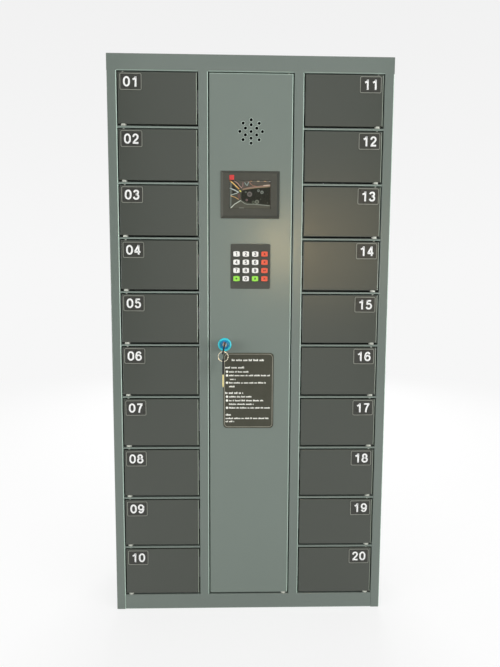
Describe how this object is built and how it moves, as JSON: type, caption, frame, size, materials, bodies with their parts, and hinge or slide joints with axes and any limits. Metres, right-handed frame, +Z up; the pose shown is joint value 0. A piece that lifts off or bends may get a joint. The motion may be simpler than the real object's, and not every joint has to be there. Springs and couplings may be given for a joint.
{
  "type": "cell phone locker box",
  "caption": "Wall or floor cabinet of small numbered steel doors for phones, with a tall centre door carrying a screen, keypad, speaker and service lock.",
  "frame": {"origin": "middle of the underside of the base sheet", "axes": "+X to the right as seen from the front, +Y from the doors to the back, +Z up"},
  "size_m": [0.48, 0.2331, 0.97],
  "materials": {
    "cabinet_paint": "grey-green powder coat, fine orange peel, semi-gloss",
    "door_paint": "dark grey powder coat, fine orange peel, satin",
    "pin_steel": "bright zinc-plated steel",
    "lock_case": "zinc-plated pressed steel",
    "supply_case": "bare sheet aluminium",
    "circuit_board": "green solder mask with components",
    "grommet_rubber": "black rubber",
    "bezel_plastic": "dark grey moulded plastic",
    "screen_glass": "dark display under a protective film",
    "keypad_plastic": "dark grey moulded plastic, fine texture",
    "key_white": "white moulded key",
    "key_red": "red moulded key",
    "key_green": "green moulded key",
    "plate_vinyl": "dark printed label with a pale border",
    "lock_cap": "bright blue plastic cap on a metal barrel",
    "plug_nickel": "nickel-plated brass",
    "key_metal": "brass blade in a black plastic bow",
    "ring_steel": "nickel-plated spring wire",
    "speaker_black": "black paper cone and steel basket"
  },
  "bodies": {
    "cabinet": {"top_panel": "cabinet_paint", "bottom_panel": "cabinet_paint", "left_side_panel": "cabinet_paint", "right_side_panel": "cabinet_paint", "back_panel": "cabinet_paint", "left_partition": "cabinet_paint", "right_partition": "cabinet_paint", "shelves": "cabinet_paint", "hinge_pins": "pin_steel", "door_locks": "lock_case", "power_supply": "supply_case", "control_board": "circuit_board", "cable_grommet": "grommet_rubber"},
    "centre_door": {"centre_door": "cabinet_paint", "screen_bezel": "bezel_plastic", "screen_panel": "screen_glass", "keypad_housing": "keypad_plastic", "instruction_plate": "plate_vinyl", "cam_lock_barrel": "lock_cap", "speaker": "speaker_black"},
    "lock_plug": {"lock_plug": "plug_nickel"},
    "key": {"key": "key_metal"},
    "key_ring": {"key_ring": "ring_steel"},
    "spare_key": {"spare_key": "key_metal"},
    "door_01": {"door_01": "door_paint"},
    "door_02": {"door_02": "door_paint"},
    "door_03": {"door_03": "door_paint"},
    "door_04": {"door_04": "door_paint"},
    "door_05": {"door_05": "door_paint"},
    "door_06": {"door_06": "door_paint"},
    "door_07": {"door_07": "door_paint"},
    "door_08": {"door_08": "door_paint"},
    "door_09": {"door_09": "door_paint"},
    "door_10": {"door_10": "door_paint"},
    "door_11": {"door_11": "door_paint"},
    "door_12": {"door_12": "door_paint"},
    "door_13": {"door_13": "door_paint"},
    "door_14": {"door_14": "door_paint"},
    "door_15": {"door_15": "door_paint"},
    "door_16": {"door_16": "door_paint"},
    "door_17": {"door_17": "door_paint"},
    "door_18": {"door_18": "door_paint"},
    "door_19": {"door_19": "door_paint"},
    "door_20": {"door_20": "door_paint"},
    "keypad_key_01": {"keypad_key_01": "key_white"},
    "keypad_key_02": {"keypad_key_02": "key_white"},
    "keypad_key_03": {"keypad_key_03": "key_white"},
    "keypad_key_04": {"keypad_key_04": "key_red"},
    "keypad_key_05": {"keypad_key_05": "key_white"},
    "keypad_key_06": {"keypad_key_06": "key_white"},
    "keypad_key_07": {"keypad_key_07": "key_white"},
    "keypad_key_08": {"keypad_key_08": "key_red"},
    "keypad_key_09": {"keypad_key_09": "key_white"},
    "keypad_key_10": {"keypad_key_10": "key_white"},
    "keypad_key_11": {"keypad_key_11": "key_white"},
    "keypad_key_12": {"keypad_key_12": "key_red"},
    "keypad_key_13": {"keypad_key_13": "key_green"},
    "keypad_key_14": {"keypad_key_14": "key_white"},
    "keypad_key_15": {"keypad_key_15": "key_green"},
    "keypad_key_16": {"keypad_key_16": "key_red"}
  },
  "joints": [
    {"name": "centre_door_hinge", "type": "hinge", "parent": "cabinet", "child": "centre_door", "pos_m": [0.0633, -0.095, 0.0275], "axis": [0, 0, 1], "range_deg": [0, 110]},
    {"name": "lock_turn", "type": "hinge", "parent": "centre_door", "child": "lock_plug", "pos_m": [-0.0442, -0.1, 0.4862], "axis": [0, 1, 0], "range_deg": [-12, 78]},
    {"name": "key_pull", "type": "slide", "parent": "lock_plug", "child": "key", "axis": [0, -1, 0], "range_m": [0, 0.035]},
    {"name": "ring_swing", "type": "hinge", "parent": "key", "child": "key_ring", "pos_m": [-0.0461, -0.1271, 0.47725], "axis": [1, 0, 0], "range_deg": [-60, 6]},
    {"name": "spare_key_swing", "type": "hinge", "parent": "key_ring", "child": "spare_key", "pos_m": [-0.0461, -0.1271, 0.46055], "axis": [1, 0, 0], "range_deg": [-45, 12]},
    {"name": "door_01_hinge", "type": "hinge", "parent": "cabinet", "child": "door_01", "pos_m": [-0.214, -0.095, 0.85415], "axis": [0, 0, -1], "range_deg": [0, 110]},
    {"name": "door_02_hinge", "type": "hinge", "parent": "cabinet", "child": "door_02", "pos_m": [-0.214, -0.095, 0.7623], "axis": [0, 0, -1], "range_deg": [0, 110]},
    {"name": "door_03_hinge", "type": "hinge", "parent": "cabinet", "child": "door_03", "pos_m": [-0.214, -0.095, 0.67045], "axis": [0, 0, -1], "range_deg": [0, 110]},
    {"name": "door_04_hinge", "type": "hinge", "parent": "cabinet", "child": "door_04", "pos_m": [-0.214, -0.095, 0.5786], "axis": [0, 0, -1], "range_deg": [0, 110]},
    {"name": "door_05_hinge", "type": "hinge", "parent": "cabinet", "child": "door_05", "pos_m": [-0.214, -0.095, 0.48675], "axis": [0, 0, -1], "range_deg": [0, 110]},
    {"name": "door_06_hinge", "type": "hinge", "parent": "cabinet", "child": "door_06", "pos_m": [-0.214, -0.095, 0.3949], "axis": [0, 0, -1], "range_deg": [0, 110]},
    {"name": "door_07_hinge", "type": "hinge", "parent": "cabinet", "child": "door_07", "pos_m": [-0.214, -0.095, 0.30305], "axis": [0, 0, -1], "range_deg": [0, 110]},
    {"name": "door_08_hinge", "type": "hinge", "parent": "cabinet", "child": "door_08", "pos_m": [-0.214, -0.095, 0.2112], "axis": [0, 0, -1], "range_deg": [0, 110]},
    {"name": "door_09_hinge", "type": "hinge", "parent": "cabinet", "child": "door_09", "pos_m": [-0.214, -0.095, 0.11935], "axis": [0, 0, -1], "range_deg": [0, 110]},
    {"name": "door_10_hinge", "type": "hinge", "parent": "cabinet", "child": "door_10", "pos_m": [-0.214, -0.095, 0.0275], "axis": [0, 0, -1], "range_deg": [0, 110]},
    {"name": "door_11_hinge", "type": "hinge", "parent": "cabinet", "child": "door_11", "pos_m": [0.214, -0.095, 0.85415], "axis": [0, 0, 1], "range_deg": [0, 110]},
    {"name": "door_12_hinge", "type": "hinge", "parent": "cabinet", "child": "door_12", "pos_m": [0.214, -0.095, 0.7623], "axis": [0, 0, 1], "range_deg": [0, 110]},
    {"name": "door_13_hinge", "type": "hinge", "parent": "cabinet", "child": "door_13", "pos_m": [0.214, -0.095, 0.67045], "axis": [0, 0, 1], "range_deg": [0, 110]},
    {"name": "door_14_hinge", "type": "hinge", "parent": "cabinet", "child": "door_14", "pos_m": [0.214, -0.095, 0.5786], "axis": [0, 0, 1], "range_deg": [0, 110]},
    {"name": "door_15_hinge", "type": "hinge", "parent": "cabinet", "child": "door_15", "pos_m": [0.214, -0.095, 0.48675], "axis": [0, 0, 1], "range_deg": [0, 110]},
    {"name": "door_16_hinge", "type": "hinge", "parent": "cabinet", "child": "door_16", "pos_m": [0.214, -0.095, 0.3949], "axis": [0, 0, 1], "range_deg": [0, 110]},
    {"name": "door_17_hinge", "type": "hinge", "parent": "cabinet", "child": "door_17", "pos_m": [0.214, -0.095, 0.30305], "axis": [0, 0, 1], "range_deg": [0, 110]},
    {"name": "door_18_hinge", "type": "hinge", "parent": "cabinet", "child": "door_18", "pos_m": [0.214, -0.095, 0.2112], "axis": [0, 0, 1], "range_deg": [0, 110]},
    {"name": "door_19_hinge", "type": "hinge", "parent": "cabinet", "child": "door_19", "pos_m": [0.214, -0.095, 0.11935], "axis": [0, 0, 1], "range_deg": [0, 110]},
    {"name": "door_20_hinge", "type": "hinge", "parent": "cabinet", "child": "door_20", "pos_m": [0.214, -0.095, 0.0275], "axis": [0, 0, 1], "range_deg": [0, 110]},
    {"name": "keypad_key_01_press", "type": "slide", "parent": "centre_door", "child": "keypad_key_01", "axis": [0, 1, 0], "range_m": [0, 0.001], "stiffness_N_per_m": 300, "springref_m": -0.002},
    {"name": "keypad_key_02_press", "type": "slide", "parent": "centre_door", "child": "keypad_key_02", "axis": [0, 1, 0], "range_m": [0, 0.001], "stiffness_N_per_m": 300, "springref_m": -0.002},
    {"name": "keypad_key_03_press", "type": "slide", "parent": "centre_door", "child": "keypad_key_03", "axis": [0, 1, 0], "range_m": [0, 0.001], "stiffness_N_per_m": 300, "springref_m": -0.002},
    {"name": "keypad_key_04_press", "type": "slide", "parent": "centre_door", "child": "keypad_key_04", "axis": [0, 1, 0], "range_m": [0, 0.001], "stiffness_N_per_m": 300, "springref_m": -0.002},
    {"name": "keypad_key_05_press", "type": "slide", "parent": "centre_door", "child": "keypad_key_05", "axis": [0, 1, 0], "range_m": [0, 0.001], "stiffness_N_per_m": 300, "springref_m": -0.002},
    {"name": "keypad_key_06_press", "type": "slide", "parent": "centre_door", "child": "keypad_key_06", "axis": [0, 1, 0], "range_m": [0, 0.001], "stiffness_N_per_m": 300, "springref_m": -0.002},
    {"name": "keypad_key_07_press", "type": "slide", "parent": "centre_door", "child": "keypad_key_07", "axis": [0, 1, 0], "range_m": [0, 0.001], "stiffness_N_per_m": 300, "springref_m": -0.002},
    {"name": "keypad_key_08_press", "type": "slide", "parent": "centre_door", "child": "keypad_key_08", "axis": [0, 1, 0], "range_m": [0, 0.001], "stiffness_N_per_m": 300, "springref_m": -0.002},
    {"name": "keypad_key_09_press", "type": "slide", "parent": "centre_door", "child": "keypad_key_09", "axis": [0, 1, 0], "range_m": [0, 0.001], "stiffness_N_per_m": 300, "springref_m": -0.002},
    {"name": "keypad_key_10_press", "type": "slide", "parent": "centre_door", "child": "keypad_key_10", "axis": [0, 1, 0], "range_m": [0, 0.001], "stiffness_N_per_m": 300, "springref_m": -0.002},
    {"name": "keypad_key_11_press", "type": "slide", "parent": "centre_door", "child": "keypad_key_11", "axis": [0, 1, 0], "range_m": [0, 0.001], "stiffness_N_per_m": 300, "springref_m": -0.002},
    {"name": "keypad_key_12_press", "type": "slide", "parent": "centre_door", "child": "keypad_key_12", "axis": [0, 1, 0], "range_m": [0, 0.001], "stiffness_N_per_m": 300, "springref_m": -0.002},
    {"name": "keypad_key_13_press", "type": "slide", "parent": "centre_door", "child": "keypad_key_13", "axis": [0, 1, 0], "range_m": [0, 0.001], "stiffness_N_per_m": 300, "springref_m": -0.002},
    {"name": "keypad_key_14_press", "type": "slide", "parent": "centre_door", "child": "keypad_key_14", "axis": [0, 1, 0], "range_m": [0, 0.001], "stiffness_N_per_m": 300, "springref_m": -0.002},
    {"name": "keypad_key_15_press", "type": "slide", "parent": "centre_door", "child": "keypad_key_15", "axis": [0, 1, 0], "range_m": [0, 0.001], "stiffness_N_per_m": 300, "springref_m": -0.002},
    {"name": "keypad_key_16_press", "type": "slide", "parent": "centre_door", "child": "keypad_key_16", "axis": [0, 1, 0], "range_m": [0, 0.001], "stiffness_N_per_m": 300, "springref_m": -0.002}
  ]
}
